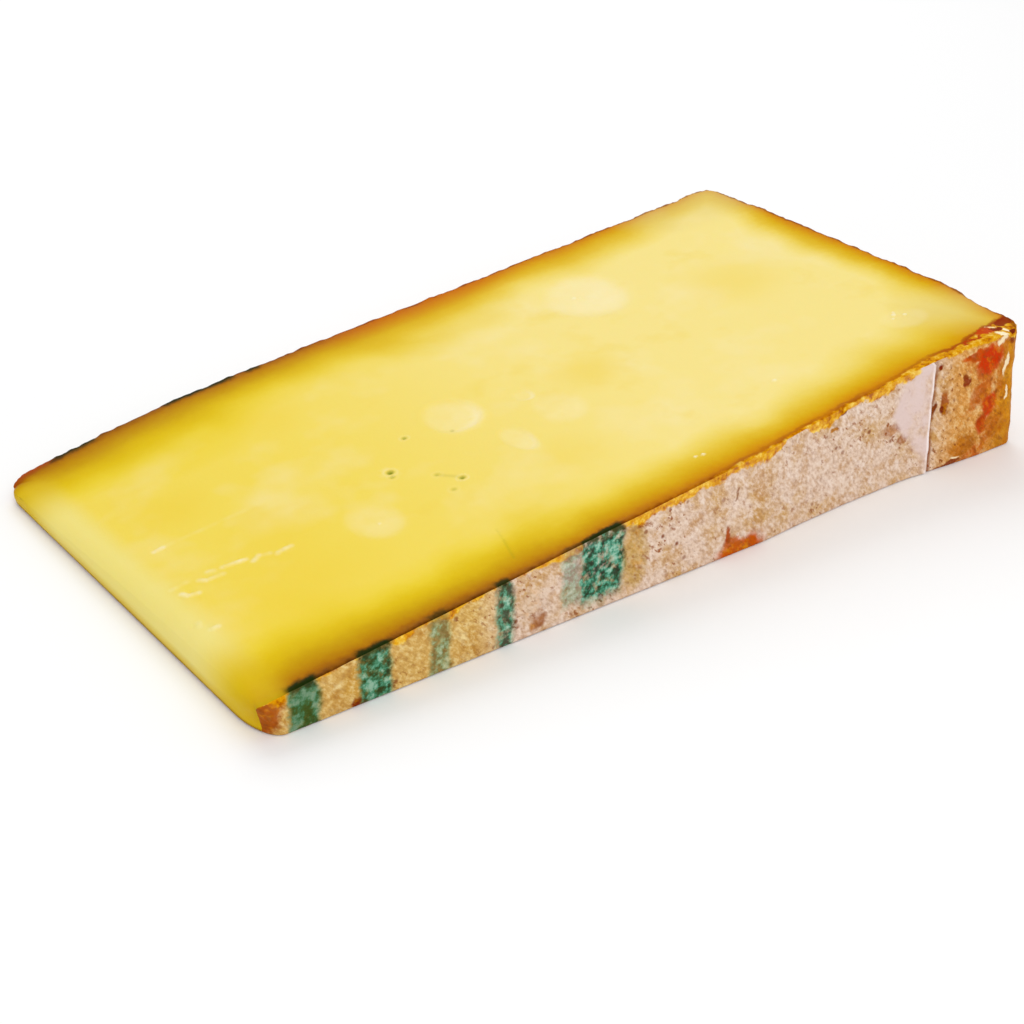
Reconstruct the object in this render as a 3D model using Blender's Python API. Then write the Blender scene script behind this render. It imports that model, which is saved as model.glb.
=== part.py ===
"""A wedge of semi-hard mountain cheese, lying on one of its two cut faces.

The wedge's width is the height of the wheel it came from, and its two long narrow sides are the
wheel's flat rinds. The thick end is the heel, the wheel's outer edge, and the thin end is the
blunt nose near the wheel's middle. Paste and rind grew as one piece, so they are one solid.

Frame: metres, +X from nose to heel, +Y from the front rind to the back rind, +Z up. The origin
lies on the ground under the middle of the wedge.
"""

import bpy
import numpy as np

# Driving dimensions, in metres
WHEEL_HEIGHT = 0.095  # between the two flat rinds, so the wedge's width as it lies
FRONT_LENGTH = 0.1659  # nose to heel along the front rind
BACK_LENGTH = 0.1716  # nose to heel along the back rind: the knife ran a little askew
NOSE_THICKNESS = 0.0067
HEEL_THICKNESS = 0.026
HEEL_BULGE = 0.0018  # the pressed heel swells between the flat rinds
NOSE_OVERHANG = 0.001  # the nose leans out over its foot
NOSE_DROP = 0.0037  # the thin back corner of the nose sags by this much
NOSE_DROP_REACH = 0.3  # share of the length that sags with it
NOSE_ROUNDING = 0.0038  # soft top edge of the nose
NOSE_CORNER_TOP = 0.0016  # upright corners of the nose, at the top and at the foot
NOSE_CORNER_FOOT = 0.0045
HEEL_CORNER_TOP = 0.0048  # upright corners between the heel and the flat rinds
HEEL_CORNER_FOOT = 0.0022
CUT_EDGE = 0.0007  # edges that the knife left, all round both cut faces

# Mesh spacing
LENGTH_STEPS = 22
WIDTH_STEPS = 13
HEIGHT_STEPS = 4
ROUNDING_STEPS = 3

NODE_NAME = "cheese_wedge"
PASTE_COLOUR = (0.90, 0.73, 0.19, 1.0)
RIND_COLOUR = (0.66, 0.45, 0.29, 1.0)


def clear_scene():
    for item in list(bpy.data.objects):
        bpy.data.objects.remove(item, do_unlink=True)


def make_material(name, colour, roughness):
    material = bpy.data.materials.new(name)
    material.use_nodes = True
    shader = material.node_tree.nodes["Principled BSDF"]
    shader.inputs["Base Color"].default_value = colour
    shader.inputs["Roughness"].default_value = roughness
    shader.inputs["Metallic"].default_value = 0.0
    return material


def stations(length, steps, near_rounding, far_rounding):
    """Shares from 0 to 1 along a side: evenly spaced, and closer where each end is rounded."""
    angles = np.linspace(0.0, np.pi / 2, ROUNDING_STEPS + 1)[:-1]
    near = near_rounding * (1.0 - np.cos(angles)) / length
    far = 1.0 - far_rounding * (1.0 - np.cos(angles[::-1])) / length
    middle = np.linspace(near_rounding / length, 1.0 - far_rounding / length, steps + 1)
    return np.concatenate([near, middle, far])


def round_edge(depth_a, depth_b, radius):
    """How far a point on a sharp edge moves in from each of two faces to lie on a rounded edge.

    The depths are the point's distances inside the two faces. Within the radius of both, the
    square corner is drawn onto a quarter circle.
    """
    a = np.clip(radius - depth_a, 0.0, None)
    b = np.clip(radius - depth_b, 0.0, None)
    reach = np.hypot(a, b)
    shrink = np.where(reach > 0.0, np.maximum(a, b) / np.maximum(reach, 1e-12), 1.0)
    return a * (1.0 - shrink), b * (1.0 - shrink)


def wedge_points(u, v, w):
    """Places points of a unit box: u nose to heel, v front to back, w foot to top."""
    y = (v - 0.5) * WHEEL_HEIGHT
    nose = -NOSE_OVERHANG * w
    bulge = HEEL_BULGE * (1.0 - (2.0 * v - 1.0) ** 2)
    heel = FRONT_LENGTH + (BACK_LENGTH - FRONT_LENGTH) * v + bulge
    sag = NOSE_DROP * np.clip(1.0 - u / NOSE_DROP_REACH, 0.0, None) ** 2 * v**1.5
    thickness = NOSE_THICKNESS + (HEEL_THICKNESS - NOSE_THICKNESS) * u - sag
    x = nose + (heel - nose) * u
    z = w * thickness

    from_nose, from_heel = x - nose, heel - x
    from_front, from_back = y + WHEEL_HEIGHT / 2, WHEEL_HEIGHT / 2 - y
    from_top, from_foot = thickness - z, z.copy()

    nose_rounding = np.minimum(NOSE_ROUNDING, 0.6 * thickness)
    shift_x, shift_z = round_edge(from_nose, from_top, nose_rounding)
    from_nose, from_top = from_nose + shift_x, from_top + shift_z
    shift_x, shift_z = round_edge(from_heel, from_top, CUT_EDGE)
    from_heel, from_top = from_heel + shift_x, from_top + shift_z
    for side in (from_front, from_back):
        shift_y, shift_z = round_edge(side, from_top, CUT_EDGE)
        side += shift_y
        from_top += shift_z
    for side in (from_nose, from_heel, from_front, from_back):
        shift_side, shift_z = round_edge(side, from_foot, CUT_EDGE)
        side += shift_side
        from_foot += shift_z

    nose_corner = NOSE_CORNER_FOOT + (NOSE_CORNER_TOP - NOSE_CORNER_FOOT) * w
    heel_corner = HEEL_CORNER_FOOT + (HEEL_CORNER_TOP - HEEL_CORNER_FOOT) * w
    for end, radius in ((from_nose, nose_corner), (from_heel, heel_corner)):
        for side in (from_front, from_back):
            shift_end, shift_side = round_edge(end, side, radius)
            end += shift_end
            side += shift_side

    x = np.where(u < 0.5, nose + from_nose, heel - from_heel)
    y = np.where(v < 0.5, from_front - WHEEL_HEIGHT / 2, WHEEL_HEIGHT / 2 - from_back)
    z = np.where(w < 0.5, from_foot, thickness - from_top)
    return np.stack([x, y, z], axis=-1)


def box_faces(lengths, widths, heights):
    """Quads over the six sides of a box with the given stations, sharing their edge vertices."""
    index = {}
    shares = []

    def vertex(i, j, k):
        key = (i, j, k)
        if key not in index:
            index[key] = len(shares)
            shares.append((lengths[i], widths[j], heights[k]))
        return index[key]

    last_i, last_j, last_k = len(lengths) - 1, len(widths) - 1, len(heights) - 1
    quads = []
    is_rind = []

    def add(corners, rind):
        quads.append([vertex(*corner) for corner in corners])
        is_rind.append(rind)

    for i in range(last_i):
        for j in range(last_j):
            add([(i, j, 0), (i, j + 1, 0), (i + 1, j + 1, 0), (i + 1, j, 0)], False)
            top = [(i, j, last_k), (i + 1, j, last_k), (i + 1, j + 1, last_k), (i, j + 1, last_k)]
            add(top, False)
        for k in range(last_k):
            add([(i, 0, k), (i + 1, 0, k), (i + 1, 0, k + 1), (i, 0, k + 1)], True)
            back = [(i, last_j, k), (i, last_j, k + 1), (i + 1, last_j, k + 1), (i + 1, last_j, k)]
            add(back, True)
    for j in range(last_j):
        for k in range(last_k):
            add([(0, j, k), (0, j, k + 1), (0, j + 1, k + 1), (0, j + 1, k)], False)
            heel = [(last_i, j, k), (last_i, j + 1, k), (last_i, j + 1, k + 1), (last_i, j, k + 1)]
            add(heel, True)
    return np.array(shares), quads, is_rind


def build_wedge():
    lengths = stations(FRONT_LENGTH, LENGTH_STEPS, NOSE_ROUNDING, HEEL_CORNER_TOP)
    widths = stations(WHEEL_HEIGHT, WIDTH_STEPS, CUT_EDGE, CUT_EDGE)
    heights = stations(HEEL_THICKNESS, HEIGHT_STEPS, CUT_EDGE, CUT_EDGE)
    shares, quads, is_rind = box_faces(lengths, widths, heights)
    points = wedge_points(*shares.T)
    middle = (points.min(axis=0) + points.max(axis=0)) / 2
    points[:, :2] -= middle[:2]

    mesh = bpy.data.meshes.new(NODE_NAME)
    mesh.from_pydata(points.tolist(), [], quads)
    mesh.materials.append(make_material("cheese_paste", PASTE_COLOUR, 0.42))
    mesh.materials.append(make_material("cheese_rind", RIND_COLOUR, 0.70))
    for polygon, rind in zip(mesh.polygons, is_rind):
        polygon.material_index = int(rind)
    mesh.shade_smooth()
    mesh.update()
    wedge = bpy.data.objects.new(NODE_NAME, mesh)
    bpy.context.scene.collection.objects.link(wedge)
    return wedge


clear_scene()
build_wedge()
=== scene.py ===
# %% [markdown]
# # A wedge of mountain cheese
# The object is a thin slice of a big pressed wheel, lying on one of its two cut faces. Its long
# narrow sides are the wheel's flat rinds, its thick end is the heel and its thin end the nose.
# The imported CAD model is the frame: it says where the wedge lies and how big it is. This lesson
# replaces that plain solid with one closed mesh that has the real surface: paste that bends and
# blisters, a ragged cut lip, a dry floury rind and worn stamp ink.

# %% Load the frame
import math

import bmesh
import bpy
import numpy as np
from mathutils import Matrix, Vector


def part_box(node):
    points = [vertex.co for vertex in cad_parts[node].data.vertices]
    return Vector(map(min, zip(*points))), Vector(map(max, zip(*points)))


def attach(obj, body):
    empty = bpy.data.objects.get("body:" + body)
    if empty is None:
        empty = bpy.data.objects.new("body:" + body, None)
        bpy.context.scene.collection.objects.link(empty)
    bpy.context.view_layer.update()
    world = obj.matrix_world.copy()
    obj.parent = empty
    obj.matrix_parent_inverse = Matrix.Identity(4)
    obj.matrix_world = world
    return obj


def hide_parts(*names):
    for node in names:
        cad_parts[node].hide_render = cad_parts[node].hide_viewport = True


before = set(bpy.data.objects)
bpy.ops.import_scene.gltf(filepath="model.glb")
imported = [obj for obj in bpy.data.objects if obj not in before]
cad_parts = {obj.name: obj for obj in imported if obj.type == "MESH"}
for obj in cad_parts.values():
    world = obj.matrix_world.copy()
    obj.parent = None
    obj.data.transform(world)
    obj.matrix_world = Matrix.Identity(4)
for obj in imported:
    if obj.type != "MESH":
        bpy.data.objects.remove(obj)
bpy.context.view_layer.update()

NODE = "cheese_wedge"
MM = 0.001

low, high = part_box(NODE)
wheel_height = high.y - low.y
print("frame box, mm:", [round(side / MM, 1) for side in high - low])

# %% [markdown]
# Helpers serve every node tree below. The first turns an sRGB hex colour into the linear
# values that Blender's sockets expect. The second adds a node, sets its options and fills its
# sockets in order with plain values or with other nodes' outputs, so a tree reads like a recipe.
# The common sums are named kinds that hold the operation too. Two more helpers multiply values
# and start a material.

# %% Helpers for colours and node trees
MATH = "ShaderNodeMath"
VECTOR = "ShaderNodeVectorMath"
PLUS = "ShaderNodeMath ADD"
MINUS = "ShaderNodeMath SUBTRACT"
TIMES = "ShaderNodeMath MULTIPLY"
TIMES_PLUS = "ShaderNodeMath MULTIPLY_ADD"
OVER = "ShaderNodeMath DIVIDE"
LEAST = "ShaderNodeMath MINIMUM"
MOST = "ShaderNodeMath MAXIMUM"
ABOVE = "ShaderNodeMath GREATER_THAN"
BELOW = "ShaderNodeMath LESS_THAN"
V_PLUS = "ShaderNodeVectorMath ADD"
V_MINUS = "ShaderNodeVectorMath SUBTRACT"
V_TIMES = "ShaderNodeVectorMath MULTIPLY"
V_SCALE = "ShaderNodeVectorMath SCALE"
RANGE = "ShaderNodeMapRange"
SPLIT = "ShaderNodeSeparateXYZ"
JOIN = "ShaderNodeCombineXYZ"
MIX = "ShaderNodeMix"
RAMP = "ShaderNodeValToRGB"
STORED = "ShaderNodeAttribute"
SOFT = {"interpolation_type": "SMOOTHSTEP"}


def colour(hex_code):
    """Linear RGBA of an sRGB hex colour."""
    shares = [int(hex_code[i : i + 2], 16) / 255 for i in (1, 3, 5)]
    linear = [s / 12.92 if s <= 0.04045 else ((s + 0.055) / 1.055) ** 2.4 for s in shares]
    return (*linear, 1.0)


def add(tree, kind, *values, out=0, links=None, stops=(), points=(), **settings):
    """Adds a node with its settings, links, ramp stops or curve points; returns one output."""
    kind, _, operation = kind.partition(" ")
    made = tree.nodes.new(kind)
    if operation:
        made.operation = operation
    for option, value in settings.items():
        setattr(made, option, value)
    for key, value in (*enumerate(values), *(links or {}).items()):
        if isinstance(value, bpy.types.NodeSocket):
            tree.links.new(value, made.inputs[key])
        elif value is not None:
            made.inputs[key].default_value = value
    for place, _ in stops[1:-1]:
        made.color_ramp.elements.new(place)
    for index, (place, hex_code) in enumerate(stops):
        made.color_ramp.elements[index].position = place
        made.color_ramp.elements[index].color = colour(hex_code)
    for place, level in points[1:-1]:
        made.mapping.curves[0].points.new(place, level)
    for index, spot_on_curve in enumerate(points):
        made.mapping.curves[0].points[index].location = spot_on_curve
    return made.outputs[out]


def product(tree, *values):
    """Multiplies plain values and sockets together."""
    total = values[0]
    for value in values[1:]:
        total = add(tree, TIMES, total, value)
    return total


def start_material(name, settings):
    """A new material with its shader's plain settings; returns also its tree and the sockets."""
    material = bpy.data.materials.new(name)
    material.use_nodes = True
    sockets = material.node_tree.nodes["Principled BSDF"].inputs
    for socket, value in settings.items():
        sockets[socket].default_value = value
    return material, material.node_tree, sockets


print("white is", [round(c, 3) for c in colour("#FFFFFF")])

# %% [markdown]
# ## Where the camera and the lights stand
# The wedge is seen from its nose's left, a good forearm's length away and looking down at it, so
# the cut face and the front rind both show. The camera is set first because all later choices of
# scale depend on how large a millimetre comes out. The light is a studio's: a bright even room,
# a broad soft panel behind the wedge that skims over the cut face, and a weaker one in front.

# %% Camera
CAMERA_AZIMUTH = math.radians(-36.55)
CAMERA_ELEVATION = math.radians(28.63)
CAMERA_DISTANCE = 0.3245
CAMERA_LENS = 60.73
CAMERA_AIM = Vector((-0.0085, -0.0042, -0.0054))


def towards(azimuth, elevation):
    """Unit vector from the wedge to a place at that azimuth and elevation."""
    flat = math.cos(elevation)
    return Vector((math.sin(azimuth) * flat, -math.cos(azimuth) * flat, math.sin(elevation)))


camera_data = bpy.data.cameras.new("camera")
camera_data.lens = CAMERA_LENS
camera_data.sensor_width = 36
camera_data.clip_start = 0.01
camera = bpy.data.objects.new("camera", camera_data)
back = towards(CAMERA_AZIMUTH, CAMERA_ELEVATION)
camera.location = CAMERA_AIM + back * CAMERA_DISTANCE
camera.rotation_euler = back.to_track_quat("Z", "Y").to_euler()
bpy.context.scene.collection.objects.link(camera)
bpy.context.scene.camera = camera
print("camera at, mm:", [round(c / MM) for c in camera.location])

# %% Floor, room light and panels
ROOM_STRENGTH = 0.64
FLOOR_SIZE = 6.0

bpy.context.scene.view_settings.view_transform = "Standard"
world = bpy.data.worlds.new("bright_room")
world.use_nodes = True
world.node_tree.nodes["Background"].inputs["Color"].default_value = colour("#FFFFFF")
world.node_tree.nodes["Background"].inputs["Strength"].default_value = ROOM_STRENGTH
bpy.context.scene.world = world

floor_mesh = bpy.data.meshes.new("floor")
half = FLOOR_SIZE / 2
corners = [(-half, -half, 0), (half, -half, 0), (half, half, 0), (-half, half, 0)]
floor_mesh.from_pydata(corners, [], [(0, 1, 2, 3)])
floor = bpy.data.objects.new("floor", floor_mesh)
bpy.context.scene.collection.objects.link(floor)
card = {"Base Color": colour("#FAFAFA"), "Roughness": 0.9, "Specular IOR Level": 0.0}
white_card, _, _ = start_material("white_card_matt", card)
floor_mesh.materials.append(white_card)


def add_panel(name, azimuth, elevation, distance, size, watts):
    """A square soft light that faces the wedge."""
    lamp = bpy.data.lights.new(name, "AREA")
    lamp.size = size
    lamp.energy = watts
    panel = bpy.data.objects.new(name, lamp)
    away = towards(math.radians(azimuth), math.radians(elevation))
    panel.location = away * distance
    panel.rotation_euler = away.to_track_quat("Z", "Y").to_euler()
    bpy.context.scene.collection.objects.link(panel)


add_panel("back_panel", azimuth=160, elevation=46, distance=0.9, size=0.7, watts=2.6)
add_panel("front_panel", azimuth=-20, elevation=38, distance=1.1, size=0.6, watts=4.8)
print("room", ROOM_STRENGTH, "and two panels")

# %% [markdown]
# ## The body
# A wheel is cut with a wire through its middle, so every slice follows one rule: a straight
# taper from nose to heel, with the wheel's height as its width. A shape with a rule suits
# Geometry Nodes. The tree starts from a unit box whose grid is closer at the edges, where the
# cut lip is, and bends it into the wedge: taper, sagging nose corner, rounded edges, swollen
# heel. Each box point also keeps how deep it lies under each rind and under the cut, which the
# materials read later. Noise then gives each kind of surface its own relief.

# %% Sizes of the body
SIZES = {
    "Front Length": 0.1668,
    "Back Length": 0.1716,
    "Wheel Height": wheel_height,
    "Nose Thickness": 0.0067,
    "Heel Thickness": 0.026,
    "Heel Bulge": 0.0009,
    "Heel Lean": 0.0006,
    "Nose Overhang": 0.001,
    "Nose Drop": 0.0037,
    "Drop Reach": 0.3,
    "Nose Rounding": 0.0038,
    "Nose Corner Top": 0.0012,
    "Nose Corner Foot": 0.0040,
    "Nose Back Corner": 0.0046,
    "Heel Corner Top": 0.0048,
    "Heel Corner Foot": 0.0022,
    "Heel Back Corner": 0.0040,
    "Cut Edge": 0.0006,
    "Frame Start": low.x,
    "Paste Relief": 0.0006,
    "Rind Relief": 0.0005,
    "Rind Grain": 0.0003,
    "Lip Relief": 0.0004,
    "Heel Waves": 0.0008,
}
GRID = (232, 140, 36)  # points along, across and up
GRID_CROWDING = (0.55, 0.62, 0.60)  # 0 is an even grid, and at 1 its lines meet at the edges
FAR = 1.0  # farther out than any side, which keeps the rounding off that axis
TINY = 1e-9  # keeps a division away from zero
print("body sizes, mm:", {name: round(value / MM, 2) for name, value in SIZES.items()})


# %% Rounding the edges of a box
def rounded(tree, point, low_side, high_side, radius):
    """Draws the square edges of a box onto ellipses. Each argument is a vector field."""
    low_core = add(tree, V_PLUS, low_side, radius)
    high_core = add(tree, V_MINUS, high_side, radius)
    core = add(tree, VECTOR, point, low_core, operation="MAXIMUM")
    core = add(tree, VECTOR, core, high_core, operation="MINIMUM")
    proud = add(tree, V_MINUS, point, core)
    share = add(tree, VECTOR, proud, radius, operation="DIVIDE")
    reach = add(tree, VECTOR, share, out=1, operation="LENGTH")
    size = add(tree, SPLIT, add(tree, VECTOR, share, operation="ABSOLUTE")).node.outputs
    biggest = add(tree, MOST, size[0], size[1])
    biggest = add(tree, MOST, biggest, size[2])
    reach = add(tree, MOST, reach, TINY)
    shrink = add(tree, OVER, biggest, reach)
    drawn = add(tree, V_SCALE, proud, links={"Scale": shrink})
    return add(tree, V_PLUS, core, drawn)


# %% The taper, the rounded edges and the swollen heel
def wedge_form(tree, size, shares):
    """Returns the shaped position, the square one before rounding, and the local thickness."""
    u, v, w = shares
    half_height = product(tree, size["Wheel Height"], 0.5)
    minus_half = product(tree, half_height, -1.0)

    slack = add(tree, OVER, u, size["Drop Reach"])
    slack = add(tree, MINUS, 1.0, slack, use_clamp=True)
    towards_back = add(tree, MATH, v, 1.5, operation="POWER")
    sag = product(tree, slack, slack, towards_back, size["Nose Drop"])
    taper = add(tree, RANGE, u, 0.0, 1.0, size["Nose Thickness"], size["Heel Thickness"])
    thickness = add(tree, MINUS, taper, sag)

    x = product(tree, u, size["Front Length"])
    y = add(tree, RANGE, v, 0.0, 1.0, minus_half, half_height)
    z = product(tree, w, thickness)
    square = add(tree, JOIN, x, y, z)

    # The nose's top edge is soft, and all other cut edges are as sharp as the wire left them.
    soft = product(tree, thickness, 0.6)
    soft = add(tree, LEAST, size["Nose Rounding"], soft)
    soft = product(tree, soft, add(tree, RANGE, v, 0.0, 0.12, 0.35, 1.0))
    near_nose = add(tree, BELOW, u, 0.5)
    near_top = add(tree, ABOVE, w, 0.5)
    nose_top = product(tree, near_nose, near_top)
    along_radius = add(tree, RANGE, nose_top, 0.0, 1.0, size["Cut Edge"], soft)
    radius = add(tree, JOIN, along_radius, 1.0, along_radius)
    low_side = add(tree, JOIN, 0.0, -2 * FAR, 0.0)
    high_side = add(tree, JOIN, size["Front Length"], 2 * FAR, thickness)
    point = rounded(tree, square, low_side, high_side, radius)

    radius = add(tree, JOIN, 1.0, size["Cut Edge"], size["Cut Edge"])
    low_side = add(tree, JOIN, -2 * FAR, minus_half, 0.0)
    high_side = add(tree, JOIN, 2 * FAR, half_height, thickness)
    point = rounded(tree, point, low_side, high_side, radius)

    # The upright corners, which change their roundness from foot to top. The knife took a long
    # sliver off the nose's front corner, and the back one is rubbed round.
    at_back = add(tree, ABOVE, v, 0.5)
    at_nose = add(tree, RANGE, w, 0.0, 1.0, size["Nose Corner Foot"], size["Nose Corner Top"])
    at_nose = add(tree, RANGE, at_back, 0.0, 1.0, at_nose, size["Nose Back Corner"])
    at_heel = add(tree, RANGE, at_back, 0.0, 1.0, size["Heel Corner Top"], size["Heel Back Corner"])
    at_heel = add(tree, RANGE, w, 0.0, 1.0, size["Heel Corner Foot"], at_heel)
    upright = add(tree, RANGE, near_nose, 0.0, 1.0, at_heel, at_nose)
    sliver = add(tree, MINUS, near_nose, at_back, use_clamp=True)
    sliver = add(tree, TIMES_PLUS, sliver, 1.3, 1.0)
    radius = add(tree, JOIN, upright, product(tree, upright, sliver), 1.0)
    low_side = add(tree, JOIN, 0.0, minus_half, -2 * FAR)
    high_side = add(tree, JOIN, size["Front Length"], half_height, 2 * FAR)
    point = rounded(tree, point, low_side, high_side, radius)

    # The heel swells between the flat rinds and leans back, and the cut runs a little askew.
    from_back = add(tree, MINUS, 1.0, v)
    swell = product(tree, v, from_back, 4.0, size["Heel Bulge"])
    skew = add(tree, MINUS, size["Back Length"], size["Front Length"])
    swell = add(tree, TIMES_PLUS, skew, v, swell)
    from_heel = add(tree, MINUS, 1.0, u)
    lean = product(tree, w, from_heel, size["Nose Overhang"])
    swell = add(tree, MINUS, swell, product(tree, w, size["Heel Lean"]))
    shift = add(tree, MINUS, product(tree, swell, u), lean)
    shaped = add(tree, V_PLUS, point, add(tree, JOIN, shift))
    return shaped, square, thickness


# %% The relief of paste, rind and lip
def bumps(tree, place, wave, detail, seed):
    """Noise from -1 to 1 whose waves are that long, in metres."""
    fields = {"Vector": place, "W": seed, "Scale": 1.0 / wave, "Detail": detail, "Roughness": 0.55}
    share = add(tree, "ShaderNodeTexNoise", links=fields, noise_dimensions="4D")
    return add(tree, RANGE, share, 0.0, 1.0, -1.0, 1.0)


def wedge_relief(tree, size, seed):
    """How far each point stands proud of the plain form, in metres."""
    place = add(tree, "GeometryNodeInputPosition")
    x, _, z = add(tree, SPLIT, place).node.outputs
    rind_depth = add(tree, "GeometryNodeInputNamedAttribute", "rind_depth", data_type="FLOAT")
    cut_depth = add(tree, "GeometryNodeInputNamedAttribute", "cut_depth", data_type="FLOAT")
    off_board = add(tree, RANGE, z, 0.0002, 0.0015, **SOFT)
    on_rind = add(tree, RANGE, rind_depth, 0.0016, 0.0, **SOFT)
    on_cut = add(tree, RANGE, cut_depth, 0.0014, 0.0, **SOFT)
    on_paste = add(tree, MINUS, 1.0, on_rind)
    on_heel = add(tree, RANGE, x, 0.076, 0.082, **SOFT)
    layers = (
        (on_paste, size["Paste Relief"], bumps(tree, place, 0.034, 1.0, seed)),
        (on_rind, size["Rind Relief"], bumps(tree, place, 0.009, 3.0, seed)),
        (on_rind, size["Rind Grain"], bumps(tree, place, 0.0022, 3.0, seed)),
        (product(tree, on_rind, on_cut), size["Lip Relief"], bumps(tree, place, 0.0017, 2.0, seed)),
        (product(tree, on_rind, on_heel), size["Heel Waves"], bumps(tree, place, 0.014, 1.0, seed)),
    )
    total = 0.0
    for mask, height, wave in layers:
        total = add(tree, TIMES_PLUS, product(tree, mask, height), wave, total)
    return product(tree, total, off_board)


# %% The whole tree
def wedge_tree(sizes, paste, rind):
    """Geometry Nodes that grow the wedge from a box grid."""
    tree = bpy.data.node_groups.new("cut_wedge", "GeometryNodeTree")
    sockets = tree.interface
    for name, value in (*sizes.items(), ("Seed", 0.0)):
        socket = sockets.new_socket(name=name, in_out="INPUT", socket_type="NodeSocketFloat")
        socket.default_value = value
    sockets.new_socket(name="Geometry", in_out="OUTPUT", socket_type="NodeSocketGeometry")
    size = tree.nodes.new("NodeGroupInput").outputs

    # A unit box whose grid lines crowd towards its edges.
    mesh = add(tree, "GeometryNodeMeshCube", (1.0, 1.0, 1.0), *GRID)
    place = add(tree, "GeometryNodeInputPosition")
    even = add(tree, V_PLUS, place, (0.5, 0.5, 0.5))
    turn = add(tree, V_SCALE, even, links={"Scale": 2 * math.pi})
    crowding = tuple(share / (2 * math.pi) for share in GRID_CROWDING)
    sway = add(tree, V_TIMES, add(tree, VECTOR, turn, operation="SINE"), crowding)
    shares = add(tree, SPLIT, add(tree, V_MINUS, even, sway)).node.outputs
    shaped, square, thickness = wedge_form(tree, size, shares)

    # How deep each point lies under the three rinds and under the two cuts.
    x, y, z = add(tree, SPLIT, square).node.outputs
    half_height = product(tree, size["Wheel Height"], 0.5)
    from_front = add(tree, PLUS, half_height, y)
    from_back = add(tree, MINUS, half_height, y)
    from_heel = add(tree, MINUS, size["Front Length"], x)
    rind_depth = add(tree, LEAST, from_front, from_back)
    from_top = add(tree, MINUS, thickness, z)
    kept = (
        ("box_share", add(tree, JOIN, *shares), "FLOAT_VECTOR", "POINT"),
        ("rind_depths", add(tree, JOIN, from_front, from_back, from_heel), "FLOAT_VECTOR", "POINT"),
        ("rind_depth", add(tree, LEAST, rind_depth, from_heel), "FLOAT", "POINT"),
        ("cut_depth", add(tree, LEAST, from_top, z), "FLOAT", "POINT"),
        ("box_side", add(tree, "GeometryNodeInputNormal"), "FLOAT_VECTOR", "FACE"),
    )
    for name, field, data_type, domain in kept:
        links = {"Geometry": mesh, "Name": name, "Value": field}
        options = {"data_type": data_type, "domain": domain}
        mesh = add(tree, "GeometryNodeStoreNamedAttribute", links=links, **options)

    # The shape, moved to where the frame's wedge starts, and then its relief.
    mesh = add(tree, "GeometryNodeSetPosition", links={"Geometry": mesh, "Position": shaped})
    start = add(tree, SPLIT, add(tree, "GeometryNodeBoundBox", mesh, out=1)).node.outputs[0]
    offset = add(tree, MINUS, size["Frame Start"], start)
    links = {"Geometry": mesh, "Offset": add(tree, JOIN, offset)}
    mesh = add(tree, "GeometryNodeSetPosition", links=links)
    proud = wedge_relief(tree, size, size["Seed"])
    facing = add(tree, "GeometryNodeInputNormal")
    offset = add(tree, V_SCALE, facing, links={"Scale": proud})
    mesh = add(tree, "GeometryNodeSetPosition", links={"Geometry": mesh, "Offset": offset})
    mesh = add(tree, "GeometryNodeSetShadeSmooth", mesh)

    # Paste on the two cuts and at the nose, rind on the other three sides.
    side = add(tree, "GeometryNodeInputNamedAttribute", "box_side", data_type="FLOAT_VECTOR")
    side = add(tree, SPLIT, side).node.outputs
    is_rind = add(tree, MATH, side[1], operation="ABSOLUTE")
    is_rind = add(tree, MOST, is_rind, side[0])
    is_rind = add(tree, ABOVE, is_rind, 0.5)
    mesh = add(tree, "GeometryNodeRealizeInstances", mesh)
    mesh = add(tree, "GeometryNodeSetMaterial", mesh, links={"Material": paste})
    links = {"Geometry": mesh, "Selection": is_rind, "Material": rind}
    mesh = add(tree, "GeometryNodeSetMaterial", links=links)
    tree.links.new(mesh, tree.nodes.new("NodeGroupOutput").inputs[0])
    return tree


# %% [markdown]
# ## What the knife and the ripening left
# The cut face isn't blank. Gas that rose in the paste left flat blisters, the wire dragged small
# wrinkles of butterfat near the nose, and a few pits and one short crack hold green mould. These
# places were chosen one by one, so they are short lists of spots in millimetres. One pass over the
# mesh presses them in and writes down how pale or how green each point is, for the paste's
# colour to read.

# %% Marks on the cut face, in millimetres
BLISTERS = (  # middle x and y, half sizes, depth, how pale, how bright the painted highlight on its lit rim
    (30.9, 23.6, 8.8, 10.0, 0.25, 0.62, 0.15),
    (-17.4, 2.6, 4.9, 6.4, 0.25, 0.38, 0.75),
    (-13.6, -12.8, 2.6, 4.8, 0.22, 0.34, 0.55),
    (-3.6, -0.9, 1.8, 2.3, 0.16, 0.15, 0.60),
    (-1.6, -9.5, 5.0, 6.0, 0.06, 0.32, 0.00),
    (-46.8, -17.8, 4.8, 5.8, 0.08, 0.34, 0.05),
    (66.0, -30.0, 5.0, 4.0, 0.06, 0.25, 0.00),
)
PITS = (  # middle x and y, radius, how green
    (-27.9, 2.1, 0.55, 0.75),
    (-36.3, -6.2, 0.75, 1.00),
    (-36.9, -7.8, 0.60, 0.45),
    (-28.3, -16.6, 0.65, 0.90),
    (-30.9, -12.7, 0.60, 0.40),
    (-20.0, -1.6, 0.50, 0.35),
    (-31.6, -18.8, 0.60, 0.35),
)
CRACKS = (  # from x and y, to x and y, half width, depth, how green
    (-31.0, -12.6, -28.4, -16.2, 0.35, 0.06, 0.20),
    (-33.8, -34.0, -34.8, -37.4, 0.15, 0.05, 0.12),
    (-34.8, -37.4, -36.6, -42.6, 0.20, 0.08, 0.22),
)
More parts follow.
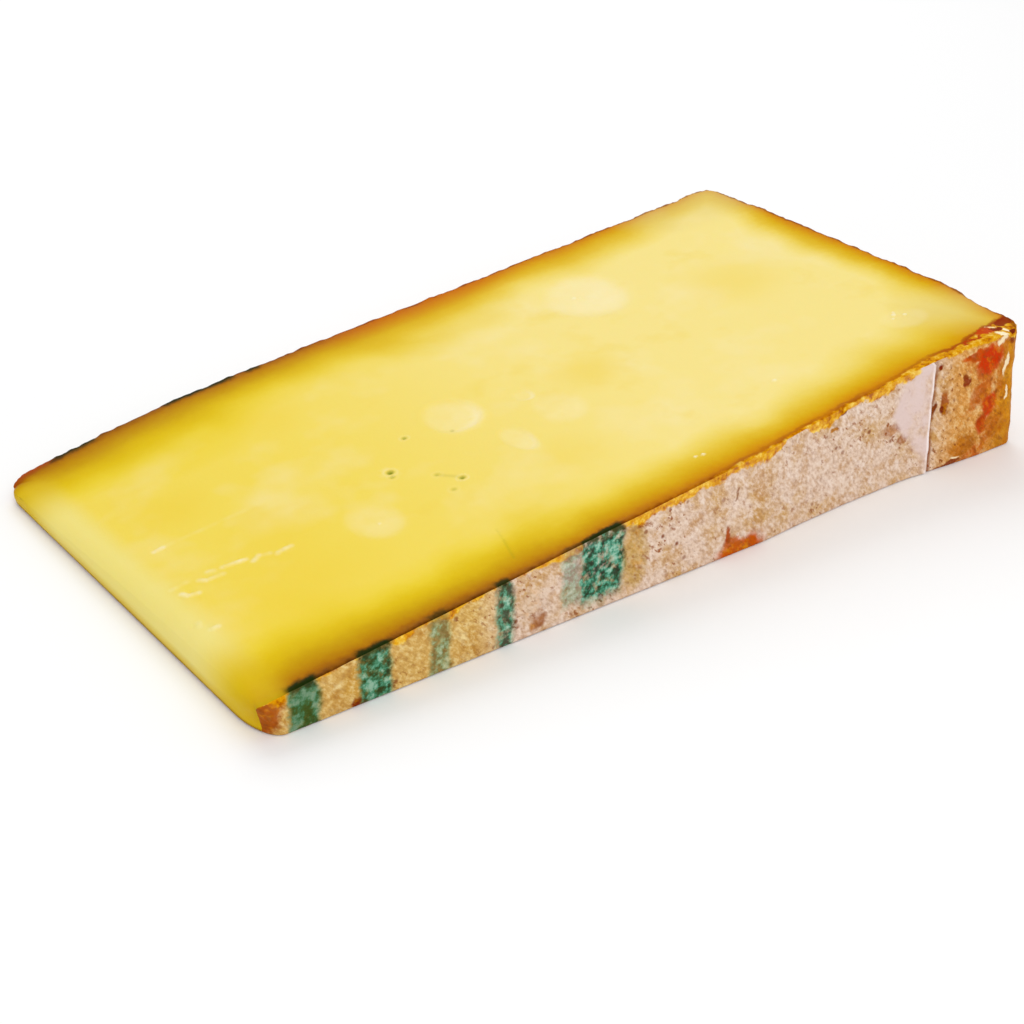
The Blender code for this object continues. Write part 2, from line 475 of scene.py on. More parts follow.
WRINKLES = (  # from x and y, to x and y, height, how pale: whitish fat with a painted glint along it
    (-77.6, 2.4, -76.0, 2.5, 0.25, 1.00),
    (-75.5, 2.5, -60.0, 1.6, 0.04, 0.15),
    (-80.3, -12.7, -79.8, -13.9, 0.25, 1.00),
    (-79.8, -13.9, -78.2, -14.5, 0.25, 1.00),
    (-81.0, -10.3, -78.2, -10.2, 0.08, 0.35),
    (-76.4, -11.3, -75.6, -12.3, 0.18, 0.55),
    (-75.6, -12.3, -72.8, -12.7, 0.14, 0.40),
    (-74.2, -10.2, -73.4, -10.6, 0.14, 0.45),
    (-71.9, -10.9, -70.0, -11.3, 0.20, 0.60),
    (-70.0, -11.3, -68.2, -11.8, 0.22, 0.80),
    (-67.4, -13.2, -66.0, -12.4, 0.22, 0.80),
    (-65.2, -12.9, -64.4, -13.2, 0.10, 0.40),
    (-63.5, -14.3, -63.2, -14.0, 0.30, 1.00),
    (-62.4, -13.9, -60.8, -13.9, 0.25, 0.95),
    (-82.1, -21.9, -82.5, -23.1, 0.22, 0.85),
    (-81.6, -25.1, -80.4, -25.1, 0.22, 0.85),
)
CRUMBS_WITH_GLINTS = (  # middle x and y, radius, height; each one is painted pale as a glint
    (28.6, 24.6, 0.9, 0.25),
    (29.6, 23.9, 0.5, 0.15),
    (65.6, -27.6, 0.8, 0.30),
    (67.2, -29.0, 0.7, 0.25),
    (64.4, -28.6, 0.5, 0.20),
    (66.4, -26.8, 0.5, 0.20),
    (31.8, -30.2, 0.7, 0.22),
    (5.2, -40.6, 0.6, 0.25),
    (3.8, -40.2, 0.5, 0.20),
    (-46.6, -18.8, 0.4, 0.14),
)
CREASE_X = 57.1  # upright fold in the front rind's skin, and the pressed skin beside it
CREASE_LEAN = 0.04  # how far it leans for each millimetre of height
CREASE_SKIN_WIDTH = 8.0
CREASE_STEP = 0.35  # how far the pressed skin stands proud
SUNKEN_RIND = ((14, 0.0), (24, 0.75), (36, 1.25), (54, 1.4), (64, 0.45), (71, 0.0))  # x, how deep
SUNKEN_REACH = 14.0  # how far in from the rind the hollow pulls the paste along
RUBBED_CORNER = (79.0, -47.5, 9.0, 26.0, 1.7)  # middle x and y, half sizes, how deep
print(len(BLISTERS), "blisters,", len(PITS), "pits,", len(WRINKLES), "wrinkles")


# %% How far points are from a mark
def stroke_distance(x, y, start, end):
    """Distance to a straight stroke and the share of its length reached, for arrays of points."""
    along = np.array(end) - np.array(start)
    share = ((x - start[0]) * along[0] + (y - start[1]) * along[1]) / (along @ along)
    share = np.clip(share, 0.0, 1.0)
    gap = np.hypot(x - start[0] - share * along[0], y - start[1] - share * along[1])
    return gap, share


def blister_reach(x, y, middle_x, middle_y, half_x, half_y):
    """1 on a blister's uneven outline and 0 in its middle, and the turn around it."""
    across = (x - middle_x) / half_x
    up = (y - middle_y) / half_y
    turn = np.arctan2(up, across)
    outline = 1.0 + 0.05 * np.sin(2 * turn + middle_x) + 0.03 * np.sin(3 * turn + middle_y)
    return np.hypot(across, up) / outline, turn


def smooth_step(edge_low, edge_high, value):
    """0 at the first edge, 1 at the second and a soft S between them."""
    share = np.clip((value - edge_low) / (edge_high - edge_low), 0.0, 1.0)
    return share * share * (3.0 - 2.0 * share)


# %% Finer mesh where small marks are
def near_marks(x, y):
    """True where the cut face needs a finer mesh, in millimetres."""
    wanted = np.zeros(len(x), bool)
    for mid_x, mid_y, half_x, half_y, _, _, rim in BLISTERS:
        reach, _ = blister_reach(x, y, mid_x, mid_y, half_x, half_y)
        wanted |= (np.abs(reach - 1.0) < 0.9 / half_x) & (rim > 0.2)
    for mid_x, mid_y, radius, _ in PITS:
        wanted |= np.hypot(x - mid_x, y - mid_y) < radius + 1.0
    for mid_x, mid_y, radius, _ in CRUMBS_WITH_GLINTS:
        wanted |= np.hypot(x - mid_x, y - mid_y) < radius + 0.8
    for stroke in (*CRACKS, *WRINKLES):
        gap, _ = stroke_distance(x, y, stroke[:2], stroke[2:4])
        wanted |= gap < 1.2
    return wanted


def refine(mesh):
    """Splits the cut face's quads near small marks, and the front rind's along its crease."""
    work = bmesh.new()
    work.from_mesh(mesh)
    centres = np.array([face.calc_center_median() for face in work.faces]) / MM
    normals = np.array([face.normal for face in work.faces])
    on_top = normals[:, 2] > 0.9
    from_crease = centres[:, 0] - CREASE_X + CREASE_LEAN * centres[:, 2]
    on_front = (normals[:, 1] < -0.7) & (np.abs(from_crease) < 1.2)
    chosen = (on_top & near_marks(centres[:, 0], centres[:, 1])) | on_front
    faces = [face for face, wanted in zip(work.faces, chosen) if wanted]
    edges = list({edge for face in faces for edge in face.edges})
    bmesh.ops.subdivide_edges(work, edges=edges, cuts=2, use_grid_fill=True)
    uneven = [face for face in work.faces if len(face.verts) > 4]
    bmesh.ops.triangulate(work, faces=uneven)
    work.to_mesh(mesh)
    work.free()


# %% Press the marks into the mesh
def read_vectors(items, name):
    """One vector of each vertex or attribute entry, as an array with three columns."""
    values = np.empty(len(items) * 3)
    items.foreach_get(name, values)
    return values.reshape(-1, 3)


def press_marks(mesh):
    """Moves the cut face for its marks, and the front rind for its crease, hollow and corner."""
    points = read_vectors(mesh.vertices, "co")
    normals = read_vectors(mesh.vertices, "normal")
    x, y, z = (points / MM).T
    on_top = smooth_step(0.5, 0.8, normals[:, 2])
    height, pale, green = np.zeros((3, len(points)))
    for mid_x, mid_y, half_x, half_y, depth, fill, rim in BLISTERS:
        reach, turn = blister_reach(x, y, mid_x, mid_y, half_x, half_y)
        inside = smooth_step(1.08, 0.82, reach)
        haze = smooth_step(1.15, 0.55, reach)
        # Painted light: each blister's pale fill is lighter on the side that faces the light, and
        # its rim there gets a painted highlight.
        lit_side = 0.5 + 0.5 * np.cos(turn + 0.9)
        height -= depth * inside
        height += 0.3 * depth * smooth_step(0.16, 0.0, np.abs(reach - 1.08))
        pale = np.maximum(pale, fill * (0.4 * inside + 0.6 * haze) * (0.7 + 0.3 * lit_side))
        pale = np.maximum(pale, rim * smooth_step(0.40, 0.0, np.abs(reach - 0.86)) * lit_side ** 2)
    for mid_x, mid_y, radius, mould in PITS:
        reach = np.hypot(x - mid_x, y - mid_y) / radius
        height -= 0.5 * mould * radius * smooth_step(1.0, 0.2, reach)
        green = np.maximum(green, mould * smooth_step(1.3, 0.2, reach))
        pale = np.maximum(pale, 0.35 * mould * smooth_step(0.5, 0.0, np.abs(reach - 1.7)))
    for x0, y0, x1, y1, half_width, depth, mould in CRACKS:
        gap, _ = stroke_distance(x, y, (x0, y0), (x1, y1))
        groove = smooth_step(2.2 * half_width, 0.0, gap)
        height -= depth * groove
        green = np.maximum(green, mould * groove)
    for x0, y0, x1, y1, tall, fat_and_glint in WRINKLES:
        gap, share = stroke_distance(x, y, (x0, y0), (x1, y1))
        length = share * math.dist((x0, y0), (x1, y1))
        beads = 0.6 + 0.2 * np.sin(2.3 * length + x0) + 0.2 * np.sin(0.9 * length + y0)
        ends = smooth_step(-0.02, 0.12, share) * smooth_step(1.02, 0.88, share)
        height += tall * smooth_step(0.85, 0.0, gap) * beads * ends
        height -= 0.4 * tall * smooth_step(0.7, 0.0, np.abs(gap - 1.0)) * ends
        # The pale beads are whitish fat with a painted glint on it.
        pale = np.maximum(pale, fat_and_glint * smooth_step(0.85, 0.15, gap) * beads)
    for mid_x, mid_y, radius, tall in CRUMBS_WITH_GLINTS:
        reach = np.hypot(x - mid_x, y - mid_y) / radius
        height += tall * smooth_step(1.0, 0.3, reach)
        # Painted glint: each crumb is pale all over.
        pale = np.maximum(pale, smooth_step(0.9, 0.3, reach))
    points[:, 2] += height * on_top * MM

    on_front = smooth_step(0.6, 0.9, -normals[:, 1])
    ahead = CREASE_X - CREASE_LEAN * z - x
    skin = smooth_step(-0.15, 0.15, ahead) * smooth_step(CREASE_SKIN_WIDTH, 1.0, ahead)
    fold = smooth_step(0.5, 0.0, np.abs(ahead - 0.25))
    points[:, 1] -= (CREASE_STEP * skin + 0.18 * fold) * on_front * MM
    sunken = np.interp(x, *zip(*SUNKEN_RIND)) * smooth_step(SUNKEN_REACH, 0.0, y - low.y / MM)
    points[:, 1] += sunken * MM
    mid_x, mid_y, half_x, half_y, deep = RUBBED_CORNER
    rubbed = smooth_step(1.0, 0.0, np.hypot((x - mid_x) / half_x, (y - mid_y) / half_y)) * deep
    points[:, 2] -= rubbed * points[:, 2] / high.z * MM
    mesh.vertices.foreach_set("co", points.ravel())
    for name, values in (("pale_and_glint_mark", pale), ("green_mark", green)):
        written = mesh.attributes.new(name, "FLOAT", "POINT")
        written.data.foreach_set("value", values * on_top)
    mesh.update()
    print("marks move the cut face by", round(height.min(), 2), "to", round(height.max(), 2), "mm")


# %% [markdown]
# ## A flat layout for painting
# When the wedge is exported, its colours are painted into one square picture. The layout gives
# the cut face and the rinds more of it than the hidden underside. Each side of the box is laid
# out by its own two shares, so nothing overlaps where the edges are rounded, and the two tapered
# rinds lie head to tail in one strip.

# %% Lay the six sides out flat
PICTURE = 1024
NOSE_TO_HEEL = 0.26  # the nose's thickness as a share of the heel's
LAYOUT = {  # side: where its corner goes, then the steps for one share of u, v and w, in dots
    (0, 0, 1): ((8, 8), (860, 0), (0, 480), (0, 0)),
    (1, 0, 0): ((884, 8), (0, 0), (0, 480), (130, 0)),
    (0, -1, 0): ((8, 504), (1000, 0), (0, 0), (0, 156)),
    (0, 1, 0): ((1016, 712), (-1000, 0), (0, 0), (0, -156)),
    (0, 0, -1): ((8, 728), (500, 0), (0, 284), (0, 0)),
    (-1, 0, 0): ((530, 740), (0, 0), (480, 0), (0, 40)),
}


def lay_out(mesh):
    """Writes the layout as a UV map. A long rind's strip narrows towards the nose as it does."""
    shares = read_vectors(mesh.attributes["box_share"].data, "vector")
    sides = np.rint(read_vectors(mesh.attributes["box_side"].data, "vector")).astype(int)
    corners = np.empty(len(mesh.loops), int)
    mesh.loops.foreach_get("vertex_index", corners)
    counts = np.empty(len(mesh.polygons), int)
    mesh.polygons.foreach_get("loop_total", counts)
    side_of_loop = np.repeat(sides, counts, axis=0)
    dots = np.zeros((len(corners), 2))
    for side, (corner, *steps) in LAYOUT.items():
        here = (side_of_loop == side).all(axis=1)
        share = shares[corners[here]].copy()
        if side[1]:
            share[:, 2] *= NOSE_TO_HEEL + (1.0 - NOSE_TO_HEEL) * share[:, 0]
        dots[here] = np.array(corner) + share @ np.array(steps)
    mesh.uv_layers.new(name="OFBake").data.foreach_set("uv", (dots / PICTURE).ravel())
    print("laid out", len(mesh.polygons), "faces")


# %% [markdown]
# ## Materials
# Pressed cow's milk cheese is a soft, slightly oily, non-metallic solid. Light goes a little way
# into the paste, so edges look lit from inside. Ripening works inwards from the rind: the paste
# turns from ivory to gold and then brown over the last centimetre or two. That band is drawn
# from the stored depths, and everything else from the object's own coordinates, turned into
# millimetres so that each pattern's scale is a size that could be measured on the cheese.

# %% Shared pieces of the materials
def in_millimetres(tree):
    """The object's own coordinates in millimetres."""
    place = add(tree, "ShaderNodeTexCoord", out=3)
    return add(tree, V_SCALE, place, links={"Scale": 1.0 / MM})


def grain(tree, place, wave, cuts=(0.0, 1.0), levels=(0.0, 1.0), detail=3.0, roughness=0.6):
    """Noise with waves of that many millimetres, stretched between two cuts to two levels."""
    fields = {"Vector": place, "Scale": 1.0 / wave, "Detail": detail, "Roughness": roughness}
    share = add(tree, "ShaderNodeTexNoise", links=fields)
    return add(tree, RANGE, share, *cuts, *levels)


def shaken(tree, place, wave, amount):
    """Places pushed around by noise, so that outlines drawn with them come out ragged."""
    fields = {"Vector": place, "Scale": 1.0 / wave, "Detail": 3.0}
    push = add(tree, "ShaderNodeTexNoise", links=fields, out=1)
    push = add(tree, V_MINUS, push, (0.5, 0.5, 0.5))
    return add(tree, VECTOR, push, (2 * amount,) * 3, place, operation="MULTIPLY_ADD")


def spot(tree, place, middle, half_sizes, inner=0.6, outer=1.1):
    """1 inside an ellipsoid, fading to 0 between two shares of its size."""
    reach = add(tree, V_MINUS, place, middle)
    reach = add(tree, V_TIMES, reach, [1.0 / size for size in half_sizes])
    reach = add(tree, VECTOR, reach, out=1, operation="LENGTH")
    return add(tree, RANGE, reach, outer, inner, **SOFT)


def band(tree, value, outer_low, inner_low, inner_high, outer_high):
    """1 between the two inner edges, fading to 0 at the two outer ones."""
    up = add(tree, RANGE, value, outer_low, inner_low, **SOFT)
    down = add(tree, RANGE, value, outer_high, inner_high, **SOFT)
    return product(tree, up, down)


def layer(tree, under, over, *masks, blend="MIX"):
    """Lays a hex code's or a node's colour over another, as the product of the masks says."""
    pair = [colour(tint) if isinstance(tint, str) else tint for tint in (under, over)]
    links = dict(zip((6, 7), pair))
    share = product(tree, *masks)
    return add(tree, MIX, share, links=links, out=2, data_type="RGBA", blend_type=blend)


# %% [markdown]
# ### The stamp ink
# The wheel's flat rinds are stamped with food ink. On this slice the stamp is left as plain worn
# bars of blue-green ink that say nothing: bars of different widths, rubbed thin, darkest at the
# cut where the ink soaked in. Each bar is a place along the rind and a width, wobbled by noise.

# %% Ink bars, in millimetres
FRONT_BARS = (  # middle x, half width, share of the height it reaches down, strength
    (-78.4, 2.6, 1.0, 0.95),
    (-66.0, 2.9, 1.0, 0.95),
    (-54.3, 1.9, 1.0, 0.60),
    (-41.9, 1.6, 1.0, 0.90),
    (-28.4, 2.1, 0.70, 0.50),
    (-22.4, 4.4, 0.76, 0.95),
)
BACK_BARS = (
    (-72.5, 4.3, 1.0, 0.85),
    (-45.8, 7.6, 0.8, 0.90),
    (-34.2, 1.4, 1.0, 0.90),
)
BAR_EDGE = 0.7  # half the width over which a bar's edge fades
RIND_ENDS = (-85.5, 79.5)  # where the front rind starts at the nose and ends at the heel
RIND_HEIGHTS = (SIZES["Nose Thickness"] / MM, SIZES["Heel Thickness"] / MM)


def ink_share(tree, place):
    """How much ink lies on a point of the rind, and how far down the rind the point is."""
    x, y, z = add(tree, SPLIT, place).node.outputs
    along = add(tree, PLUS, x, grain(tree, place, 2.6, levels=(-1.4, 1.4)))
    top = add(tree, RANGE, x, *RIND_ENDS, *RIND_HEIGHTS)
    from_top = add(tree, OVER, z, top)
    from_top = add(tree, MINUS, 1.0, from_top)
    down = add(tree, PLUS, from_top, grain(tree, place, 3.0, levels=(-0.25, 0.25)))
    total = 0.0
    for side, bars in ((-1.0, FRONT_BARS), (1.0, BACK_BARS)):
        on_side = add(tree, ABOVE, product(tree, y, side), 30.0)
        for middle, half_width, reach, strength in bars:
            start = middle - half_width
            end = middle + half_width
            edges = (start - BAR_EDGE, start + BAR_EDGE, end - BAR_EDGE, end + BAR_EDGE)
            bar = band(tree, along, *edges)
            ends = add(tree, RANGE, down, reach + 0.2, reach)
            bar = product(tree, bar, ends, on_side, strength)
            total = add(tree, MOST, total, bar)
    return total, from_top


print(len(FRONT_BARS), "bars on the front rind and", len(BACK_BARS), "on the back one")

# %% [markdown]
# ### The paste
# Two ramps hold the colours of ripening: olive and brown towards the thin nose, which dries
# first, and warm orange towards the heel. Both are read at a share of the ripened band's width,
# which the curves below give for each rind along the wedge.

# %% Colours and widths of ripening
NOSE_RIPENING = (
    (0.0, "#542A04"), (0.05, "#905608"), (0.09, "#A66802"), (0.125, "#B27901"), (0.175, "#BC8901"),
    (0.25, "#C69A03"), (0.35, "#D4AF08"), (0.45, "#DCBB10"), (0.6, "#E6CA2E"), (0.75, "#EBD146"),
    (1.0, "#EDD455"),
)
HEEL_RIPENING = (
    (0.0, "#8C3E04"), (0.05, "#BE7204"), (0.09, "#CA8000"), (0.15, "#D09000"), (0.22, "#D49E04"),
    (0.3, "#D8AC14"), (0.42, "#DFB92E"), (0.55, "#E6C84C"), (0.7, "#EBD268"), (0.85, "#EFD97A"),
    (1.0, "#F1DD88"),
)
WIDTH_UNIT = 25.0  # the band's width at which a curve reads 1
HALF_LENGTH = 86.0
RIPE_WIDTHS = (  # for the front, back and heel rinds: x along the wedge and the band's width
    ((-86, 20), (-40, 19), (-20, 16), (20, 13), (40, 15), (60, 20), (86, 22)),
    ((-86, 20), (-60, 24), (-30, 21), (0, 22), (20, 18), (50, 16), (62, 12), (86, 12)),
    ((-86, 11), (86, 11)),
)


def rind_depths_in_millimetres(tree):
    """How deep a point lies under the front, back and heel rinds."""
    depths = add(tree, STORED, out=1, attribute_name="rind_depths")
    return add(tree, V_SCALE, depths, links={"Scale": 1.0 / MM})


def ripening(tree, place):
    """The share of the ripened band's width that a point lies inside the nearest rind."""
    x = add(tree, SPLIT, place).node.outputs[0]
    along = add(tree, RANGE, x, -HALF_LENGTH, HALF_LENGTH)
    depths = add(tree, SPLIT, rind_depths_in_millimetres(tree)).node.outputs
    wander = grain(tree, place, 18.0, cuts=(0.3, 0.7), levels=(0.8, 1.25), detail=1.0)
    ragged = grain(tree, place, 1.4, levels=(-0.7, 0.7))
    nearest = 2.0
    for depth, widths in zip(depths, RIPE_WIDTHS):
        points = [((x + HALF_LENGTH) / (2 * HALF_LENGTH), width / WIDTH_UNIT) for x, width in widths]
        width = add(tree, "ShaderNodeFloatCurve", 1.0, along, points=points)
        width = product(tree, width, WIDTH_UNIT, wander)
        depth = add(tree, PLUS, depth, ragged)
        share = add(tree, OVER, depth, width)
        nearest = add(tree, MATH, nearest, share, 0.12, operation="SMOOTH_MIN")
    return nearest


print("ripening reaches", [max(width for _, width in side) for side in RIPE_WIDTHS], "mm in")

# %% The paste
DEEP, DULL = "#EBCC3C", "#DFC878"
PATCHES = (  # middle x and y, radius, colour, strength: yellower places, then greyer ones
    (10.8, -2.8, 8.0, DEEP, 0.45),
    (56.0, 7.0, 12.0, DEEP, 0.35),
    (-43.0, 27.0, 8.0, DEEP, 0.35),
    (-70.0, 12.0, 8.0, DEEP, 0.45),
    (-66.0, -24.0, 16.0, DEEP, 0.50),
    (-11.0, -24.0, 7.0, DEEP, 0.25),
    (-60.0, -8.0, 9.0, DEEP, 0.30),
    (80.0, 41.0, 12.0, DULL, 0.55),
    (66.0, 42.5, 8.0, DULL, 0.50),
    (74.0, -33.0, 10.0, DULL, 0.55),
)
LIP_STOPS = ((0.0, "#A85A02"), (0.25, "#CC8400"), (0.6, "#E0A408"), (1.0, "#F2CC58"))
LIP_TURNED = ((46.0, 57.0, 1.4), (65.0, 79.0, 3.8))  # from x to x, how far it grows over the cut
CRUSHED_CORNER_AND_GLINTS = (  # middle x and y, half sizes, colour: the corner where rind and paste are crushed; the cream spots are painted glints on it
    (71.8, -44.6, 3.4, 1.3, "#C23C02"),
    (67.0, -45.4, 3.2, 0.5, "#B03A02"),
    (79.3, -42.8, 3.4, 1.5, "#8A2A08"),
    (75.0, -44.6, 2.2, 1.0, "#7C1C04"),
    (78.0, -46.6, 1.5, 1.2, "#6E1404"),
    (74.2, -46.7, 1.7, 1.1, "#FFF0CC"),
    (74.9, -43.5, 1.3, 0.5, "#F6DCA4"),
    (76.9, -45.5, 0.7, 0.6, "#FFF0CC"),
)


# Fat and protein in water bend light like 1.45. The usual specular level of 0.5 would lay the
# bright room's reflection over the dark bands as a haze, so it is nearly off.
PASTE_SHADER = {
    "IOR": 1.45,
    "Specular IOR Level": 0.015,
    "Subsurface Weight": 0.12,
    "Subsurface Radius": (1.0, 0.65, 0.2),
    "Subsurface Scale": 0.002,
}


def cheese_paste():
    """Pressed, ripened paste, cut with a wire: satin, a little oily, and lit from inside."""
    material, tree, sockets = start_material("ripened_paste_wire_cut", PASTE_SHADER)
    place = in_millimetres(tree)
    x, y, z = add(tree, SPLIT, place).node.outputs
    inward = ripening(tree, place)
    near_nose = add(tree, RAMP, inward, stops=NOSE_RIPENING)
    near_heel = add(tree, RAMP, inward, stops=HEEL_RIPENING)
    along = add(tree, RANGE, x, -58.0, 26.0, **SOFT)
    tint = layer(tree, near_nose, near_heel, along)

    # Cloudy ivory and gold from the curd's pressing, and patches of deeper or duller yellow.
    inside = add(tree, RANGE, inward, 0.5, 1.1, **SOFT)
    ivory = grain(tree, place, 21.0, cuts=(0.50, 0.72), levels=(0.0, 0.38))
    tint = layer(tree, tint, "#F3E4B0", ivory, inside)
    gold = grain(tree, place, 13.0, cuts=(0.42, 0.24), levels=(0.0, 0.40))
    tint = layer(tree, tint, "#EACD48", gold, inside)
    loose = shaken(tree, place, 9.0, 3.0)
    on_cut = add(tree, ABOVE, z, 1.6)
    for mid_x, mid_y, radius, shade, strength in PATCHES:
        patch = spot(tree, loose, (mid_x, mid_y, 0.0), (radius, radius, math.inf), 0.1, 1.3)
        tint = layer(tree, tint, shade, patch, on_cut, strength)
    # Pale blisters and rings round the pits, and painted glints on the wrinkles, the crumbs and the
    # blisters' lit rims.
    pale = add(tree, STORED, out=2, attribute_name="pale_and_glint_mark")
    patchy = grain(tree, place, 3.0, cuts=(0.3, 0.6), levels=(0.75, 1.0))
    tint = layer(tree, tint, "#F6E9BC", pale, patchy)

    # At the back the band burns orange for a few centimetres. At the front the wire folded the
    # rind's edge up into a golden lip with a brown line behind it, more and more towards the
    # heel, where the corner is crushed and rind and paste are mixed, with painted glints on it.
    depths = add(tree, SPLIT, rind_depths_in_millimetres(tree)).node.outputs
    front_depth, back_depth, heel_depth = depths
    frayed = grain(tree, place, 2.5, levels=(-1.0, 1.0))
    burnt = spot(tree, loose, (5.0, 0.0, 0.0), (26.0, math.inf, math.inf), 0.5, 1.1)
    outer = add(tree, RANGE, back_depth, 7.5, 0.5)
    tint = layer(tree, tint, "#C66402", burnt, outer, 0.6)
    broken = grain(tree, place, 6.0, cuts=(0.35, 0.5))
    from_lip = add(tree, PLUS, front_depth, frayed)
    for start, end, width in LIP_TURNED:
        turned = add(tree, RANGE, x, start, end, 0.0, width)
        from_lip = add(tree, MINUS, from_lip, turned)
    along_front = band(tree, x, -6.0, 12.0, 84.0, 85.0)
    line = band(tree, from_lip, 0.4, 0.7, 1.0, 1.6)
    tint = layer(tree, tint, "#A45A04", line, along_front, broken, 0.6)
    rusty = add(tree, RANGE, from_lip, 1.5, 0.7)
    tint = layer(tree, tint, "#A03800", rusty, add(tree, RANGE, x, 55.0, 62.0), on_cut, 0.85)
    golden = grain(tree, place, 1.3, cuts=(0.34, 0.66), detail=4.0)
    golden = add(tree, RAMP, golden, stops=LIP_STOPS)
    folded = add(tree, RANGE, from_lip, 0.6, 0.2)
    tint = layer(tree, tint, golden, folded, along_front, on_cut, 0.9)
    torn = shaken(tree, place, 1.6, 1.6)
    for mid_x, mid_y, half_x, half_y, shade in CRUSHED_CORNER_AND_GLINTS:
        crumb_and_glint = spot(tree, torn, (mid_x, mid_y, 0.0), (half_x, half_y, math.inf), 0.7, 1.0)
        tint = layer(tree, tint, shade, crumb_and_glint, on_cut, 0.95)

    # A thin dark rim where the cut meets the back and heel rinds.
    rim = add(tree, LEAST, back_depth, heel_depth)
    rim = add(tree, PLUS, rim, frayed)
    rim = add(tree, RANGE, rim, 1.1, 0.4)
    tint = layer(tree, tint, "#7C3602", rim, on_cut, 0.75)

    # The nose: a paler strip where the face rolls over, partly paler paste and partly a painted
    # highlight from the bend, gold at its corners and brown at its foot.
    roll = add(tree, RANGE, x, -78.5, -83.0, **SOFT)
    middle = band(tree, y, -42.0, -26.0, 24.0, 44.0)
    tint = layer(tree, tint, "#EBDD86", roll, middle, 0.75)
    corner = add(tree, MINUS, 1.0, middle)
    tint = layer(tree, tint, "#D6B31A", roll, corner, add(tree, RANGE, back_depth, 3.0, 8.0), 0.7)
    foot = add(tree, RANGE, z, 3.2, 1.0)
    tint = layer(tree, tint, "#D8B40C", foot, roll, 0.75)
    foot = add(tree, RANGE, z, 1.2, 0.4)
    tint = layer(tree, tint, "#8A5604", foot, roll, 0.9)
    rubbed = add(tree, PLUS, back_depth, frayed)
    rubbed = add(tree, RANGE, rubbed, 2.4, 1.0)
    tint = layer(tree, tint, "#A4480A", rubbed, add(tree, RANGE, x, -72.0, -80.0), 0.9)

    # Green mould in the pits, and ink that soaked into the cut edge.
    green = add(tree, STORED, out=2, attribute_name="green_mark")
    tint = layer(tree, tint, "#7C860A", green, 0.95)
    ink, _ = ink_share(tree, place)
    soaked = add(tree, RANGE, inward, 0.10, 0.035, **SOFT)
    tint = layer(tree, tint, "#0A2606", ink, soaked, on_cut)

    tree.links.new(tint, sockets["Base Color"])
    satin = grain(tree, place, 5.0, cuts=(0.3, 0.7), levels=(0.32, 0.46))
    tree.links.new(satin, sockets["Roughness"])
    fine = grain(tree, place, 0.8)
    bump = {"Height": fine, "Strength": 0.12, "Distance": 0.0004}
    tree.links.new(add(tree, "ShaderNodeBump", links=bump), sockets["Normal"])
    return material


# %% [markdown]
# ### The rind
# A washed rind is brushed with brine for months. Under the dry, floury, pinkish bloom it is tan
# to rusty brown, and it shows through where the bloom is rubbed: freckles all over, rust towards
# the heel, and amber, almost glazed, at the corner. Right under the cut the wire pulled a ragged
# golden lip. Layers go on in that order, each masked by noise of its own size, and the fine ones
# are stretched along the brush's strokes. The bloom's real grains are about 0.1 mm, too fine to
# show, so the finest noise is drawn at 0.6 mm.

# %% Marks on the front rind, in millimetres
STAINS = (  # middle x and z, half sizes, colour, strength
    (8.8, 0.6, 6.4, 3.0, "#BE5200", 1.0),
    (6.4, 2.4, 2.6, 2.0, "#BC5600", 0.9),
    (5.4, 4.4, 1.0, 2.1, "#A84200", 0.95),
    (-35.5, 2.2, 1.8, 1.6, "#9E5A22", 0.8),
    (-69.5, 1.0, 1.5, 1.3, "#7A1E08", 1.0),
    (-36.0, 6.0, 3.6, 3.4, "#E0CAB6", 0.5),
    (-15.5, 8.0, 3.2, 8.0, "#C09A48", 0.7),
    (-36.0, 4.0, 1.2, 1.0, "#A06020", 0.5),
    (47.0, 12.0, 3.6, 1.3, "#A4622C", 0.7),
    (50.0, 9.6, 1.6, 0.9, "#96501E", 0.7),
    (60.2, 14.2, 1.1, 2.6, "#A4541A", 0.95),
    (60.4, 12.4, 1.4, 1.2, "#761C04", 1.0),
    (65.4, 17.6, 0.9, 1.7, "#822404", 0.95),
    (57.7, 13.4, 0.7, 1.2, "#6A2004", 1.0),
    (57.9, 21.6, 0.9, 1.0, "#761E04", 1.0),
    (66.5, 21.6, 3.6, 1.4, "#C4560A", 0.9),
    (70.8, 20.6, 3.8, 3.4, "#C43400", 1.0),
    (66.5, 21.8, 3.4, 1.3, "#C44C00", 0.8),
    (72.4, 10.6, 2.4, 2.8, "#C23600", 0.95),
    (70.8, 7.0, 1.8, 2.6, "#B83A00", 0.95),
    (68.5, 13.5, 2.2, 3.0, "#B45410", 0.7),
    (66.0, 3.4, 4.2, 2.2, "#B87010", 0.85),
    (63.0, 0.4, 4.6, 0.9, "#7A2004", 0.9),
    (33.0, 20.2, 1.3, 1.0, "#6A1806", 1.0),
    (31.0, 17.0, 1.2, 0.6, "#B4700C", 0.9),
    (7.0, 12.0, 0.4, 1.2, "#7E4418", 0.7),
    (77.5, 23.6, 1.6, 1.2, "#7C1E06", 0.9),
)
GLINTS = (  # middle x and z, half sizes: painted highlights where the glossy amber corner glints
    (73.6, 23.8, 1.9, 1.0),
    (75.8, 18.4, 0.6, 2.6),
    (77.0, 12.0, 0.4, 2.0),
    (64.6, 1.5, 1.7, 0.5),
)

BRUSHED = math.radians(-45.0)  # which way the brine brush went over the rind
STREAK = (0.55, 1.0, 1.0)  # how much finer the noise runs along, so its grains come out long
SKIN_MIDDLE = 14.5  # height where the pressed skin beside the crease is widest, and its width
SKIN_WIDEST = 10.8
SKIN_NARROWING = 0.42  # how fast it narrows upwards, and how much faster downwards
SKIN_BELOW = 1.8
INK_STOPS = (  # from where it pooled to where it is rubbed thin
    (0.0, "#03281A"), (0.30, "#0A4A32"), (0.5, "#267A5E"), (0.7, "#4E9C82"), (1.0, "#94C0AA"),
)


